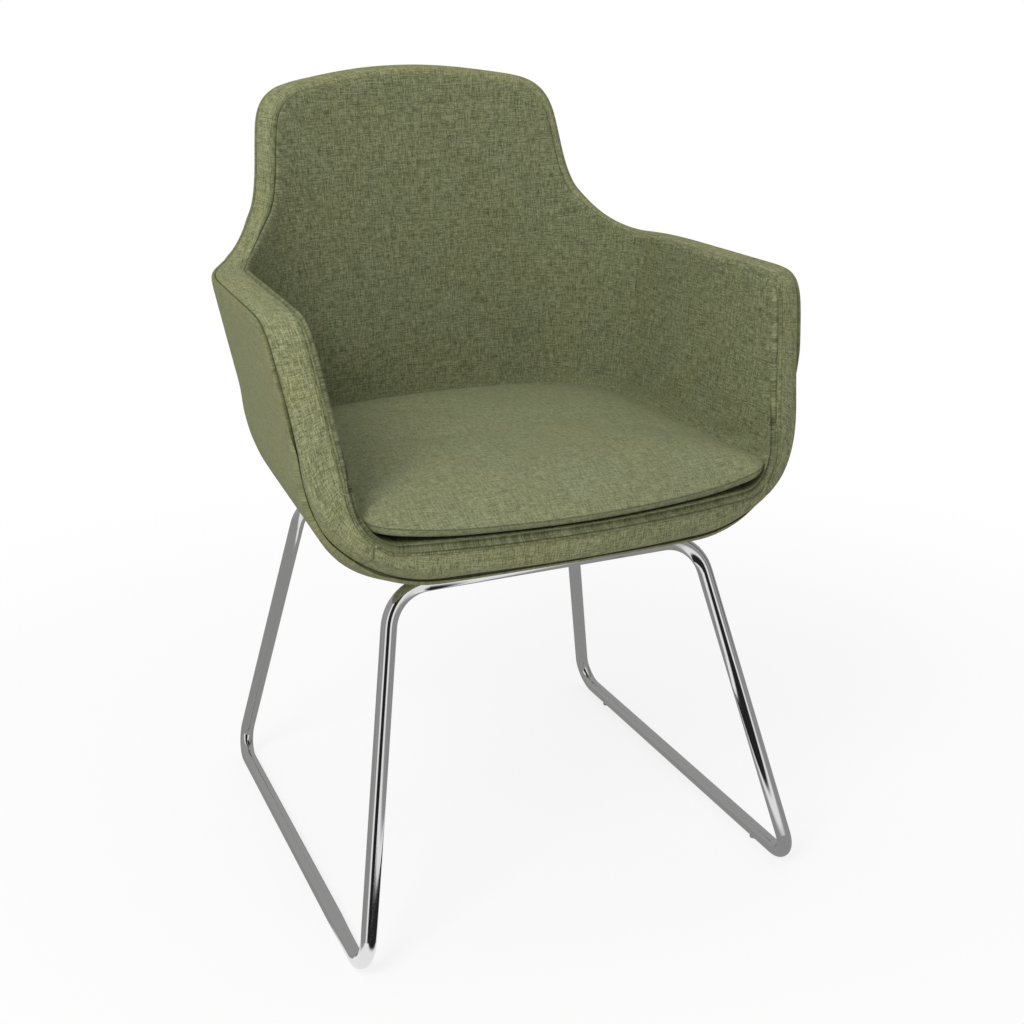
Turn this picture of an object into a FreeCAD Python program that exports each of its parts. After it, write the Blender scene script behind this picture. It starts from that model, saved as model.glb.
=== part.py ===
import FreeCAD, Part
import math
import os

# Sled base visitor chair: an upholstered bucket shell with arms and a loose seat cushion on a bent
# tube sled. Millimetres, +Z up, the chair faces -Y, the floor is Z = 0.
# Until the last section, Y = 0 is at the front corners of the runners. The origin of the finished
# model is the middle of its footprint on the floor.

# Sled: one round tube, given by its corners on the centre line
tube_d = 16.0
tube_wall = 2.0
runner_spread = 482.0
runner_length = 522.0
crossbar_spread = 334.0
crossbar_height = 365.0
front_leg_rake = 94.0
rear_leg_rake = 110.0
foot_bend = 27.0
top_bend = 45.0

# Glides: buttons with a split peg, pushed into holes under the runners
glide_d = 10.0
glide_proud = 1.5
glide_peg_d = 6.0
glide_peg_length = 5.0
glide_collar = 1.2
glide_overlap = 0.01
glide_inset = 75.0

# Fixing: plates welded to the crossbars, screws up into tee nuts in the seat board
plate_width = 40.0
plate_length = 34.0
plate_t = 4.0
plate_spacing = 200.0
plate_lap = 2.0
plate_edge = 13.0
screw_d = 6.0
screw_length = 15.5
screw_head_d = 10.5
screw_head_h = 3.3
hex_socket = 4.0
hex_depth = 2.0
screw_head_round = 1.0
washer_d = 14.0
washer_t = 1.6
thread_clear = 0.05
nut_length = 9.0
nut_barrel_d = 8.0
nut_flange_d = 19.0
nut_flange_t = 1.5
hole_clear = 0.3

# Shell: outer form of the bucket
seam_gap = 0.3
shell_width_mid = 520.0
side_lean = 0.137
bowl_top = 520.0
bottom_half = 152.0
side_flare_low = 4.2
side_flare_mid = 3.2
side_flare_arm = 1.5
back_depth = 470.0
bottom_back = 428.0
back_rake = 0.05
back_curve_r = 2630.0
back_plan_r = 600.0
corner_plan_r = 150.0
arm_corner_plan_r = 190.0
bottom_corner_r = 70.0
wall_side = 33.0
wall_back = 25.0

# Shell: hollow that holds the sitter
deck_height = 432.0
deck_half = 186.0
deck_back = 415.0
deck_rise = 43.0
inner_flare = 1.5
inner_corner_r = 118.0
arm_inner_corner_r = 145.0
deck_corner_r = 85.0

# Shell: outline seen from the front
back_top = 836.0
back_corner_z = 815.0
back_corner_x = 160.0
back_corner_round = 45.0
back_side_slope = 0.25
arm_height = 645.0
shoulder_round = 110.0
crest_reach = 80.0
rim_splay = 0.5
rim_rise = 0.16
rim_ref_y = 446.0
top_ref_y = 480.0

# Shell: outline seen from the side, bowed in plan round a vertical axis behind
front_bow_r = 750.0
lip_y = -10.0
lip_z = 437.0
lip_round = 60.0
arm_front_y = 27.0
arm_front_z = 637.0
arm_front_round = 20.0
arm_break_y = 270.0
lip_bottom_y = -1.0
lip_bottom = 401.5
keel_front_y = 10.0
keel_back_y = 96.0
keel_front_z = 398.5
keel_front_half = 236.0
keel_back_half = 250.0
keel_front_round = 114.0
keel_back_round = 138.0
arm_back_y = 330.0
far_back = 560.0

# Shell: seams
mitre_top_x = 190.0
mitre_top_z = 463.0
mitre_low_x = 241.0
mitre_low_z = 393.0
deck_seam_z = 446.0
deck_foam_top = 431.0
cloth_half = 118.0
cloth_front = 106.0
cloth_back = 400.0

# Upholstery thicknesses
cover_t = 1.2
board_t = 9.0
inner_shell_t = 4.0
inner_shell_setback = 11.0
bottom_cloth_t = 0.8

# Seat board and what fixes it
board_width = 250.0
board_front = 98.0
board_back = 408.0
board_corner_r = 40.0
board_screw_d = 4.0
board_screw_length = 12.8
board_screw_head_d = 8.0
board_screw_head_h = 2.4
board_screw_rows = 3
board_screw_margin_x = 22.0
board_screw_margin_y = 60.0
staple_width = 10.0
staple_wire = 0.8
staple_leg = 8.0
staple_pitch = 42.0
staple_inset = 7.0
staple_count_x = 4
staple_count_y = 6

# Seat cushion
strip_t = 1.5
strip_width = 25.0
strip_length = 220.0
strip_spacing = 220.0
strip_front = 90.0
lift_gap = 0.3
cushion_cover_t = 1.0
cushion_half = 208.0
cushion_taper = 5.0
cushion_back = 440.0
cushion_front = -9.0
cushion_front_corner_r = 22.0
cushion_boxing_z = 439.5
cushion_seam_front_z = 448.5
cushion_seam_back_z = 463.0
cushion_crown = 474.0
cushion_corner_r = 105.0
cushion_back_slope = 0.14
cushion_back_set = 0.8
cushion_bow_reach = 0.37
cushion_bow_proud = 0.15
cushion_undercut = 12.5
cushion_under_run = 25.0
cushion_under_steps = 3
cushion_crown_run = 150.0
cushion_crown_steps = 7
zip_length = 300.0
zip_reach = 90.0

# Points through which a plan curve of the shell is drawn, along a side, a corner and the back
side_points = 4
corner_points = 6
back_points = 8
bowl_steps = 9
wall_steps = 6

# Ends of the forms and cutters beyond the chair's own surfaces
plan_front = -80.0
hollow_front = -90.0
form_over = 40.0
over_arms = 50.0
over_all = 1000.0
under_seat = 300.0
under_all = 200.0
lip_return = 20.0

V = FreeCAD.Vector
far = 400.0
axis_z = V(0, 0, 1)
floor_to_tube = glide_proud + tube_d / 2
shell_underside = crossbar_height + tube_d / 2


def save(name, shape):
    moved = shape.copy()
    moved.translate(V(0, -middle_y, 0))
    moved.exportStep("parts/" + name + ".step")
    print(name, round(moved.Volume / 1000, 2), "cm3", len(moved.Solids), moved.isValid())


def rounded_path(corners, closed):
    # Straight runs joined by tangent arcs; each corner is (point, radius)
    count = len(corners)
    edges = []
    start = None
    first = None
    for i in range(count):
        point, radius = corners[i]
        if not closed and i in (0, count - 1):
            entry, leave = point, point
            arc = None
        else:
            before = (corners[i - 1][0] - point).normalize()
            after = (corners[(i + 1) % count][0] - point).normalize()
            half = before.getAngle(after) / 2
            if radius <= 0 or abs(half - math.pi / 2) < 1e-6:
                entry, leave, arc = point, point, None
            else:
                reach = radius / math.tan(half)
                entry = point + before * reach
                leave = point + after * reach
                bisector = (before + after).normalize()
                middle = point + bisector * (radius / math.sin(half) - radius)
                arc = Part.Arc(entry, middle, leave).toShape()
        if start is not None and (entry - start).Length > 1e-6:
            edges.append(Part.LineSegment(start, entry).toShape())
        if first is None:
            first = entry
        if arc:
            edges.append(arc)
        start = leave
    if closed:
        edges.append(Part.LineSegment(start, first).toShape())
    return Part.Wire(edges)


def inset_corners(corners, distance):
    # Moves a closed outline of (u, v, radius) inward; the outline runs anticlockwise
    count = len(corners)
    result = []
    for i in range(count):
        u, v, radius = corners[i]
        pu, pv, _ = corners[i - 1]
        nu, nv, _ = corners[(i + 1) % count]
        a = (u - pu, v - pv)
        b = (nu - u, nv - v)
        la = math.hypot(a[0], a[1])
        lb = math.hypot(b[0], b[1])
        na = (-a[1] / la, a[0] / la)
        nb = (-b[1] / lb, b[0] / lb)
        turn = (a[0] * b[1] - a[1] * b[0]) / (la * lb)
        share = distance / (1 + na[0] * nb[0] + na[1] * nb[1])
        grown = radius - distance if turn > 0 else radius + distance
        result.append((u + share * (na[0] + nb[0]), v + share * (na[1] + nb[1]),
                       max(grown, 0.5) if radius > 0 else 0))
    return result


def plan_wire(half_front, flare, back, back_r, corner_r, front, z):
    # U-shaped plan, open side closed by a straight line at the front:
    # a shallow back arc, corner arcs and side lines that spread by the flare towards the front
    sin_f = math.sin(math.radians(flare))
    cos_f = math.cos(math.radians(flare))
    base = V(half_front - corner_r * cos_f, -corner_r * sin_f, 0)
    step = V(-sin_f, cos_f, 0)
    hub = V(0, back - back_r, 0)
    rel = base - hub
    b = rel.dot(step)
    c = rel.dot(rel) - (back_r - corner_r) ** 2
    centre = base + step * (-b + math.sqrt(b * b - c))
    side = centre + V(cos_f, sin_f, 0) * corner_r
    outward = (centre - hub).normalize()
    tangent = centre + outward * corner_r
    between = (V(cos_f, sin_f, 0) + outward).normalize()
    middle = centre + between * corner_r
    front_point = V(half_front, 0, 0) + step * (front / cos_f)
    lift = V(0, 0, z)

    def mirror(p):
        return V(-p.x, p.y, p.z)

    right = [p + lift for p in (front_point, side, middle, tangent)]
    left = [mirror(p) for p in right]
    top = V(0, back, z)
    pieces = [(Part.LineSegment(right[0], right[1]), side_points),
              (Part.Arc(right[1], right[2], right[3]), corner_points),
              (Part.Arc(right[3], top, left[3]), back_points),
              (Part.Arc(left[3], left[2], left[1]), corner_points),
              (Part.LineSegment(left[1], left[0]), side_points)]
    points = [right[0]]
    for curve, count in pieces:
        points += curve.toShape().discretize(Number=count + 1)[1:]
    bend = Part.BSplineCurve()
    bend.interpolate(Points=points, Parameters=[i / (len(points) - 1) for i in range(len(points))])
    return Part.Wire([bend.toShape(), Part.LineSegment(left[0], right[0]).toShape()])


def round_in(z, top, depth):
    # 1 at the foot of a quarter-ellipse, 0 where the wall above it begins
    if z >= top:
        return 0.0
    share = min((top - z) / depth, 1.0)
    return 1 - math.sqrt(1 - share * share)


def level_heights(top, depth):
    # Levels of the sections: even steps of angle up the bowl, then even steps up the wall
    bowl = [top - depth * math.cos(math.pi / 2 * i / bowl_steps) for i in range(bowl_steps)]
    wall = [top + (back_top + form_over - top) * i / wall_steps for i in range(wall_steps + 1)]
    return bowl + wall


def back_line(z):
    rise = max(z - bowl_top, 0.0)
    return back_depth + back_rake * rise + rise * rise / (2 * back_curve_r)


def outer_form(inset):
    # Solid of the bucket's outside, moved inward by the inset
    floor = shell_underside + inset
    depth = bowl_top - floor
    heights = level_heights(bowl_top, depth)
    wires = []
    for z in heights:
        drawn = round_in(z, bowl_top, depth)
        raised = max(z - bowl_top, 0.0)
        share = min(raised / (arm_height - bowl_top), 1.0)
        half = shell_width_mid / 2 + side_lean * raised - inset
        half -= (shell_width_mid / 2 - inset - bottom_half) * drawn
        back = back_line(z) - inset - (back_depth - inset - bottom_back) * drawn
        flare = side_flare_mid + (side_flare_low - side_flare_mid) * drawn
        flare += (side_flare_arm - side_flare_mid) * share
        corner = corner_plan_r + (arm_corner_plan_r - corner_plan_r) * share - inset
        corner -= (corner_plan_r - inset - bottom_corner_r) * drawn
        wires.append(plan_wire(half, flare, back, back_plan_r - inset, corner, plan_front, z))
    return Part.makeLoft(wires, True, True).common(keel_tool(inset))


def keel_outline(y, inset):
    # Outline of the underside seen from the front: flat in the middle, sides sweeping up
    share = (y - keel_front_y) / (keel_back_y - keel_front_y)
    half = keel_front_half + (keel_back_half - keel_front_half) * share
    low = keel_front_z + (shell_underside - keel_front_z) * share
    radius = keel_front_round + (keel_back_round - keel_front_round) * share
    top_half = half + side_lean * (over_all - low)
    corners = [(-half, low, radius), (half, low, radius), (top_half, over_all, 0), (-top_half, over_all, 0)]
    return rounded_path([(V(u, y, v), r) for u, v, r in inset_corners(corners, inset)], True)


def keel_tool(inset):
    # Keeps what lies above the underside, which rises ahead of the front crossbar
    ahead = Part.makeLoft([keel_outline(plan_front, inset), keel_outline(keel_back_y, inset)], True, True)
    behind = Part.makeBox(2 * far, far_back, over_all - under_seat, V(-far, keel_back_y, under_seat))
    return ahead.fuse(behind)


def hollow_form(grow):
    # Solid that fills the space for the sitter, moved outward by the given distance
    floor = deck_height - grow
    top = deck_height + deck_rise
    depth = top - floor
    heights = level_heights(top, depth)
    wires = []
    for z in heights:
        drawn = round_in(z, top, depth)
        side = shell_width_mid / 2 - wall_side + grow + side_lean * (z - bowl_top)
        foot = shell_width_mid / 2 - wall_side + grow + side_lean * (top - bowl_top)
        half = side - (foot - deck_half) * drawn
        back_here = back_line(z) - wall_back + grow
        back = back_here - (back_depth - wall_back + grow - deck_back) * drawn
        share = min(max(z - top, 0.0) / (arm_height - top), 1.0)
        corner = inner_corner_r + (arm_inner_corner_r - inner_corner_r) * share + grow
        corner -= (inner_corner_r + grow - deck_corner_r) * drawn
        wires.append(plan_wire(half, inner_flare, back, back_plan_r - wall_back + grow,
                               corner, hollow_front, z))
    return Part.makeLoft(wires, True, True)


def side_tool(inset):
    # Keeps what lies behind the front edges, above the raised lip and under the arm tops
    axis_y = lip_y + front_bow_r
    corners = [(axis_y, over_all, 0), (arm_break_y, over_all, 0), (arm_break_y, arm_height, 0),
               (arm_front_y, arm_front_z, arm_front_round), (lip_y, lip_z, lip_round),
               (lip_bottom_y, lip_bottom, 0), (lip_bottom_y + lip_return, under_seat, 0),
               (axis_y, under_seat, 0)]
    moved = inset_corners(corners, inset)
    moved[0] = (axis_y, over_all, 0)
    moved[-1] = (axis_y, under_seat, 0)
    face = Part.Face(rounded_path([(V(0, u, v), r) for u, v, r in moved], True))
    return face.revolve(V(0, axis_y, 0), axis_z, 360)


def front_outline(y, inset):
    # Outline seen from the front, at one depth; it widens and rises towards the back
    spread = rim_splay * (y - rim_ref_y)
    raised = rim_rise * (y - top_ref_y)
    corner_x = back_corner_x + spread
    corner_z = back_corner_z + raised
    shoulder_x = corner_x + back_side_slope * (corner_z - arm_height)
    right = [(far, under_all, 0), (far, arm_height, 0), (shoulder_x, arm_height, shoulder_round),
             (corner_x, corner_z, back_corner_round)]
    left = [(-u, v, r) for u, v, r in reversed(right)]
    turn = math.atan2(back_top - back_corner_z, corner_x)
    crest = [(0, back_top + raised, crest_reach / math.tan(turn))]
    moved = inset_corners(right + crest + left, inset)
    return rounded_path([(V(u, y, v), r) for u, v, r in moved], True)


def front_tool(inset):
    # Keeps what lies inside the outline seen from the front; ahead of the back it passes everything
    # under the arm tops
    behind = Part.makeLoft([front_outline(arm_back_y, inset), front_outline(far_back, inset)], True, True)
    ahead = Part.makeBox(2 * far, far, arm_height + over_arms - under_all,
                         V(-far, arm_back_y - far, under_all))
    return behind.fuse(ahead)


def rim_tool(inset):
    return side_tool(inset).common(front_tool(inset))


def ring_bar(path, d):
    # Round bar along a path
    start = path.Edges[0]
    tangent = start.tangentAt(start.FirstParameter)
    circle = Part.Circle(start.valueAt(start.FirstParameter), tangent, d / 2)
    return path.makePipeShell([Part.Wire(circle.toShape())], True, False)


def cylinder(d, height, x, y, z):
    return Part.makeCylinder(d / 2, height, V(x, y, z))


def rounded_slab(x, y0, y1, corner, z, height):
    # Slab with round corners, centred on the middle plane
    corners = [(V(-x, y0, z), corner), (V(x, y0, z), corner), (V(x, y1, z), corner), (V(-x, y1, z), corner)]
    return Part.Face(rounded_path(corners, True)).extrude(V(0, 0, height))


def mirrored(shape):
    return shape.mirror(V(0, 0, 0), V(1, 0, 0))


# Sled tube: half of the closed ring, then its mirror image
front_bar_y = front_leg_rake
rear_bar_y = runner_length - rear_leg_rake
sled_corners = [(V(0, front_bar_y, crossbar_height), 0),
                (V(crossbar_spread / 2, front_bar_y, crossbar_height), top_bend),
                (V(runner_spread / 2, 0, floor_to_tube), foot_bend),
                (V(runner_spread / 2, runner_length, floor_to_tube), foot_bend),
                (V(crossbar_spread / 2, rear_bar_y, crossbar_height), top_bend),
                (V(0, rear_bar_y, crossbar_height), 0)]
sled_path = rounded_path(sled_corners, False)
half_outer = ring_bar(sled_path, tube_d)
half_bore = ring_bar(sled_path, tube_d - 2 * tube_wall)
half_tube = half_outer.cut(half_bore)
solid_ring = half_outer.fuse(mirrored(half_outer))
sled_tube = half_tube.fuse(mirrored(half_tube)).removeSplitter()

# Glides
glides = {}
for end, y in (("front", glide_inset), ("rear", runner_length - glide_inset)):
    for side, x in (("left", -runner_spread / 2), ("right", runner_spread / 2)):
        button = cylinder(glide_d, glide_proud, x, y, 0)
        seat = cylinder(glide_d, glide_peg_length, x, y, glide_proud - glide_overlap)
        peg = cylinder(glide_peg_d, glide_peg_length, x, y, glide_proud)
        collar = seat.common(cylinder(glide_d, glide_collar, x, y, glide_proud)).cut(half_outer).cut(
            mirrored(half_outer))
        glides["glide_" + end + "_" + side] = button.fuse(collar).fuse(peg).removeSplitter()
        sled_tube = sled_tube.cut(cylinder(glide_peg_d + 2 * hole_clear, tube_wall + 2, x, y, glide_proud))

# Fixing points
bolts = []
for y, inward in ((front_bar_y, 1), (rear_bar_y, -1)):
    for x in (-plate_spacing / 2, plate_spacing / 2):
        bolts.append((x, y + inward * (plate_length - plate_edge), y, inward))

plates = []
for x, bolt_y, bar_y, inward in bolts:
    y0 = min(bar_y + inward * plate_lap, bar_y + inward * plate_length)
    plate = Part.makeBox(plate_width, plate_length - plate_lap, plate_t,
                         V(x - plate_width / 2, y0, shell_underside - plate_t))
    plate = plate.cut(solid_ring).cut(cylinder(screw_d + 2 * hole_clear, far, x, bolt_y, under_all))
    plates.append(plate)

plate_under = shell_underside - plate_t
screws = []
washers = []
nuts = []
board_under = shell_underside + cover_t + seam_gap
board_top = board_under + board_t
nut_top = board_top
for x, y, bar_y, inward in bolts:
    ring = cylinder(washer_d, washer_t, x, y, plate_under - washer_t)
    washers.append(ring.cut(cylinder(screw_d + 2 * hole_clear, far, x, y, under_all)))
    head_z = plate_under - washer_t - screw_head_h
    head = cylinder(screw_head_d, screw_head_h, x, y, head_z)
    lower_edges = [e for e in head.Edges if e.BoundBox.ZMax < head_z + screw_head_round]
    head = head.makeFillet(screw_head_round, lower_edges)
    socket = Part.Wire(Part.makePolygon([V(x + hex_socket / math.sqrt(3) * math.cos(math.pi / 3 * i),
                                           y + hex_socket / math.sqrt(3) * math.sin(math.pi / 3 * i),
                                           head_z) for i in range(7)]))
    shank = cylinder(screw_d, screw_length, x, y, head_z + screw_head_h)
    screws.append(head.fuse(shank).cut(Part.Face(socket).extrude(V(0, 0, hex_depth))))
    barrel = cylinder(nut_barrel_d, nut_length, x, y, nut_top - nut_length)
    flange = cylinder(nut_flange_d, nut_flange_t, x, y, nut_top - nut_flange_t)
    nuts.append(barrel.fuse(flange).cut(cylinder(screw_d + 2 * thread_clear, far, x, y, under_all)))

# Seat board with its tee-nut seats and countersunk screws
board = rounded_slab(board_width / 2, board_front, board_back, board_corner_r, board_under, board_t)
for x, y, bar_y, inward in bolts:
    board = board.cut(cylinder(nut_barrel_d, far, x, y, under_all))
    board = board.cut(cylinder(nut_flange_d, far, x, y, nut_top - nut_flange_t))
wood_screws = []
for i in range(board_screw_rows):
    first_row = board_front + board_screw_margin_y
    row_pitch = (board_back - board_front - 2 * board_screw_margin_y) / (board_screw_rows - 1)
    y = first_row + row_pitch * i
    for x in (-board_width / 2 + board_screw_margin_x, board_width / 2 - board_screw_margin_x):
        cone = Part.makeCone(board_screw_head_d / 2, board_screw_d / 2, board_screw_head_h,
                             V(x, y, board_under))
        wood_screws.append(cone.fuse(cylinder(board_screw_d, board_screw_length, x, y, board_under)))
wood_screw_group = Part.makeCompound(wood_screws)
board = board.cut(wood_screw_group)

# Shell layers, from the outside in
shell_inset = cover_t + seam_gap + board_t + seam_gap
inner_side = shell_inset + inner_shell_t
lining = cover_t + seam_gap
trim_full = rim_tool(0)
trim_band = rim_tool(cover_t)
trim_fill = rim_tool(lining)
trim_core = rim_tool(inner_shell_setback)
hollow = hollow_form(0)
hollow_skin = hollow_form(cover_t)
hollow_fill = hollow_form(lining)
outside = outer_form(0)
outside_skin = outer_form(cover_t)
outside_fill = outer_form(lining)

wall = outside.cut(hollow)
rim = wall.common(trim_full).cut(trim_band)
mitre_side = [V(mitre_top_x, -far, mitre_top_z), V(mitre_low_x, -far, mitre_low_z),
              V(mitre_low_x, -far, under_seat)]
mitre_ring = mitre_side + [V(-p.x, p.y, p.z) for p in reversed(mitre_side)] + mitre_side[:1]
mitre_prism = Part.Face(Part.makePolygon(mitre_ring)).extrude(V(0, 2 * far, 0))
front_band = rim.common(mitre_prism)
edge_band = rim.cut(mitre_prism)

opening = rounded_slab(cloth_half, cloth_front, cloth_back, board_corner_r,
                       shell_underside - cover_t, 3 * cover_t)
outside_cover = outside.cut(outside_skin).common(trim_fill).cut(opening)
bottom_cloth = rounded_slab(cloth_half - seam_gap, cloth_front + seam_gap, cloth_back - seam_gap,
                            board_corner_r - seam_gap, shell_underside, bottom_cloth_t)
lined = hollow_skin.cut(hollow).common(trim_fill)
below_seam = Part.makeBox(2 * far, 2 * far, deck_seam_z - under_seat, V(-far, -far, under_seat))
deck_cover = lined.common(below_seam)
inside_cover = lined.cut(below_seam)

board_pocket = rounded_slab(board_width / 2 + seam_gap, board_front - seam_gap, board_back + seam_gap,
                            board_corner_r + seam_gap, shell_underside, shell_inset)
outer_foam = outside_fill.cut(outer_form(shell_inset - seam_gap)).common(trim_fill).cut(board_pocket)
core = outer_form(shell_inset).cut(outer_form(inner_side))
inner_shell = core.common(trim_core).cut(wood_screw_group)
rim_foam = core.common(trim_fill).cut(rim_tool(inner_shell_setback - seam_gap))
pad = outer_form(inner_side + seam_gap).cut(hollow_fill).common(trim_fill)
deck_block = Part.makeBox(2 * far, 2 * far, deck_foam_top - under_seat, V(-far, -far, under_seat))
deck_foam = pad.common(deck_block)
back_foam = pad.cut(deck_block)

# Staples round the bottom cloth
staples = []
rows = [(x, y, 0) for y in (cloth_front + staple_inset, cloth_back - staple_inset)
        for x in [staple_pitch * (i - (staple_count_x - 1) / 2) for i in range(staple_count_x)]]
cloth_mid = (cloth_front + cloth_back) / 2
side_rows = [cloth_mid + staple_pitch * (i - (staple_count_y - 1) / 2) for i in range(staple_count_y)]
rows += [(x, y, 90) for x in (-cloth_half + staple_inset, cloth_half - staple_inset) for y in side_rows]
for x, y, turn in rows:
    crown = Part.makeBox(staple_width, staple_wire, staple_wire,
                         V(-staple_width / 2, -staple_wire / 2, -staple_wire))
    for end in (-staple_width / 2, staple_width / 2 - staple_wire):
        crown = crown.fuse(Part.makeBox(staple_wire, staple_wire, staple_leg + staple_wire,
                                        V(end, -staple_wire / 2, -staple_wire)))
    crown.rotate(V(0, 0, 0), axis_z, turn)
    crown.translate(V(x, y, shell_underside))
    staples.append(crown.removeSplitter())
staple_group = Part.makeCompound(staples)
board = board.cut(staple_group)
for x, y, bar_y, inward in bolts:
    bottom_cloth = bottom_cloth.cut(cylinder(nut_barrel_d, far, x, y, under_all))
    outside_cover = outside_cover.cut(cylinder(nut_barrel_d, far / 2, x, y, under_all))
bottom_cloth = bottom_cloth.cut(staple_group)


# Cushion: level sections of a pad outline, each in a plane that may tilt up towards the back
def pad_wire(shrink, front_z, back_z, inset):
    half = cushion_half - shrink - inset
    back = cushion_back - shrink - inset
    front = cushion_front + shrink + inset
    corner = max((cushion_corner_r - inset) * min(1.0, half / cushion_half), 1.0)
    nose = max((cushion_front_corner_r - inset) * min(1.0, half / cushion_half), 0.5)
    bow = half * half / (2 * front_bow_r)
    drop = half * cushion_back_slope
    side_back = back - drop * cushion_back_set
    crest_back = side_back + drop
    reach = half * cushion_bow_reach
    front_turn = math.atan2(bow * 2, half)
    back_half = half - cushion_taper * half / cushion_half
    corners = [(0, front - bow * cushion_bow_proud, reach / math.tan(front_turn / 2)),
               (half, front + bow, nose), (back_half, side_back, corner),
               (0, crest_back, reach / math.tan(math.atan2(drop, back_half))),
               (-back_half, side_back, corner), (-half, front + bow, nose)]
    slope = (back_z - front_z) / (cushion_back - cushion_front)
    return rounded_path([(V(u, v, front_z + slope * (v - cushion_front)), r) for u, v, r in corners], True)


def cushion_form(inset):
    low = deck_height + 2 * strip_t + lift_gap
    wires = []
    for i in range(cushion_under_steps + 1):
        angle = math.pi / 2 * i / cushion_under_steps
        shrink = cushion_undercut + cushion_under_run * (1 - math.sin(angle))
        z = low + inset + (cushion_boxing_z - low - inset) * (1 - math.cos(angle))
        wires.append(pad_wire(shrink, z, z, inset))
    for i in range(cushion_crown_steps):
        angle = math.pi / 2 * i / cushion_crown_steps
        shrink = cushion_crown_run * (1 - math.cos(angle))
        rise = math.sin(angle)
        front_z = cushion_seam_front_z + (cushion_crown - inset - cushion_seam_front_z) * rise
        back_z = cushion_seam_back_z + (cushion_crown - inset - cushion_seam_back_z) * rise
        wires.append(pad_wire(shrink, front_z, back_z, inset))
    return Part.makeLoft(wires, True, True)


cushion_outer = cushion_form(0)
cushion_inner = cushion_form(cushion_cover_t)
cushion_foam = cushion_form(cushion_cover_t + seam_gap)
skin = cushion_outer.cut(cushion_inner)


def above_plane(front_z, back_z):
    slope = (back_z - front_z) / (cushion_back - cushion_front)
    y0, y1 = -far, 2 * far
    return Part.Face(Part.makePolygon([V(-far, y0, front_z + slope * (y0 - cushion_front)),
                                       V(-far, y1, front_z + slope * (y1 - cushion_front)),
                                       V(-far, y1, over_all), V(-far, y0, over_all),
                                       V(-far, y0, front_z + slope * (y0 - cushion_front))])).extrude(
        V(2 * far, 0, 0))


over_top_seam = above_plane(cushion_seam_front_z, cushion_seam_back_z)
over_low_seam = above_plane(cushion_boxing_z, cushion_boxing_z)
cushion_top = skin.common(over_top_seam)
boxing = skin.cut(over_top_seam).common(over_low_seam)
cushion_bottom = skin.cut(over_low_seam)
zip_zone = Part.makeBox(zip_length, far, far,
                        V(-zip_length / 2, cushion_back - zip_reach, cushion_boxing_z - far / 2))
zip_tape = boxing.common(zip_zone)
boxing = boxing.cut(zip_zone)

# Hook and loop strips that hold the cushion on the deck
hooks = []
loops = []
for x in (-strip_spacing / 2, strip_spacing / 2):
    place = V(x - strip_width / 2, strip_front, deck_height)
    hooks.append(Part.makeBox(strip_width, strip_length, strip_t, place))
    loops.append(Part.makeBox(strip_width, strip_length, strip_t, place + V(0, 0, strip_t + lift_gap)))

nodes = {"sled_tube": sled_tube}
nodes.update(glides)
for i, plate in enumerate(plates):
    nodes["mounting_plate_" + str(i + 1)] = plate
nodes.update({
    "frame_screws": Part.makeCompound(screws),
    "frame_washers": Part.makeCompound(washers),
    "tee_nuts": Part.makeCompound(nuts),
    "seat_board": board,
    "board_screws": wood_screw_group,
    "inner_shell": inner_shell,
    "outer_foam": outer_foam,
    "back_foam": back_foam,
    "deck_foam": deck_foam,
    "rim_foam": rim_foam,
    "outside_cover": outside_cover,
    "inside_cover": inside_cover,
    "deck_cover": deck_cover,
    "edge_band": edge_band,
    "front_band": front_band,
    "bottom_cloth": bottom_cloth,
    "staples": staple_group,
    "hook_strips": Part.makeCompound(hooks),
    "loop_strips": Part.makeCompound(loops),
    "cushion_foam": cushion_foam,
    "cushion_top": cushion_top,
    "cushion_boxing": boxing,
    "cushion_bottom": cushion_bottom,
    "cushion_zip": zip_tape,
})

box = Part.makeCompound(list(nodes.values())).optimalBoundingBox(True, False)
middle_y = (box.YMin + box.YMax) / 2
os.makedirs("parts", exist_ok=True)
for name, shape in nodes.items():
    save(name, shape)
print("middle_y", middle_y, "size", box.XLength, box.YLength, box.ZLength)
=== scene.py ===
import math
import bpy
import numpy as np
from mathutils import Matrix, Vector
from mathutils.bvhtree import BVHTree


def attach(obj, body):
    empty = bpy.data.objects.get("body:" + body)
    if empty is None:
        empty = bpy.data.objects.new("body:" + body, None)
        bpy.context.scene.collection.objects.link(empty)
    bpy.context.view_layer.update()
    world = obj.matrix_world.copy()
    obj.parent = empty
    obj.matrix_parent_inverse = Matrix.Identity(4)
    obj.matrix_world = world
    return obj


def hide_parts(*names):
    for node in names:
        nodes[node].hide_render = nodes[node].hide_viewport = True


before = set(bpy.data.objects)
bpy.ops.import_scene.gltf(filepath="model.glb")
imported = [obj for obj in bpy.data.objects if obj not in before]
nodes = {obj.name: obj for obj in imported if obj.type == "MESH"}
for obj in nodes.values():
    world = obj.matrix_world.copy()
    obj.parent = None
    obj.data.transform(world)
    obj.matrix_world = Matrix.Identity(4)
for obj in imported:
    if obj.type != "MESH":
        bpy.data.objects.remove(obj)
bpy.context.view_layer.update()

# Studio: the place where the chair is photographed. A pale floor sweeps out of sight, a white
# surround closes the view, and soft lamps hang in front, at the left and above the chair.
bpy.context.scene.view_settings.view_transform = "Standard"
bpy.ops.object.select_all(action="DESELECT")
white = (1.0, 1.0, 1.0, 1.0)


def plain_material(name, colour, roughness, metallic=0.0):
    material = bpy.data.materials.new(name)
    material.use_nodes = True
    shader = material.node_tree.nodes["Principled BSDF"]
    shader.inputs["Base Color"].default_value = (*colour, 1.0)
    shader.inputs["Roughness"].default_value = roughness
    shader.inputs["Metallic"].default_value = metallic
    return material, material.node_tree, shader


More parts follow.
